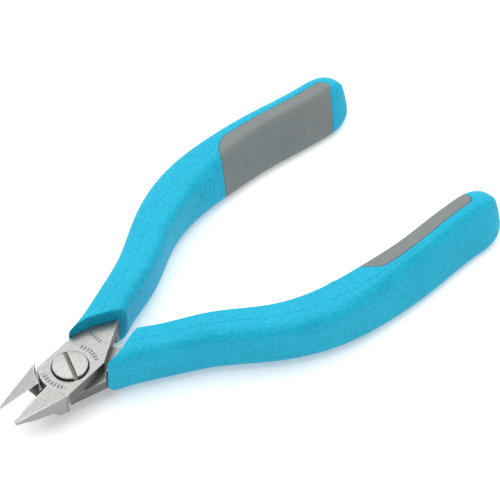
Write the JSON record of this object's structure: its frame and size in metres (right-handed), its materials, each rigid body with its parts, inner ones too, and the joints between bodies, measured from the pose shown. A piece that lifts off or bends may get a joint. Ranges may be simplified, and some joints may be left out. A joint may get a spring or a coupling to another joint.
{
  "type": "diagonal cutting pliers",
  "caption": "Small precision side cutter: two lapped steel halves on a slotted pivot screw, tapered jaws held open by an inner ring spring, soft two-colour grips",
  "frame": {"origin": "on the pivot axis, in the plane of the head's flat underside", "axes": "+X to the jaw tips, +Z along the pivot axis toward the screw's slotted head, +Y by the right-hand rule; the upper half's jaw is on +Y and its handle on -Y"},
  "size_m": [0.1186, 0.0637, 0.0122],
  "materials": {
    "head_steel": "satin ground tool steel",
    "screw_steel": "finely turned, bright",
    "spring_wire": "drawn spring wire",
    "blue_grip": "soft moulding with fine leather grain",
    "grey_pad": "smooth matt soft pad"
  },
  "bodies": {
    "lower_side": {"lower_half": "head_steel", "lower_grip": "blue_grip", "lower_pad": "grey_pad", "pivot_screw": "screw_steel", "pivot_nut": "screw_steel", "return_spring": "spring_wire"},
    "upper_side": {"upper_half": "head_steel", "upper_grip": "blue_grip", "upper_pad": "grey_pad"}
  },
  "joints": [
    {"name": "pivot", "type": "hinge", "parent": "lower_side", "child": "upper_side", "pos_m": [0, 0, 0.00275], "axis": [0, 0, -1], "range_deg": [0, 14.9], "stiffness_Nm_per_rad": 0.3}
  ]
}
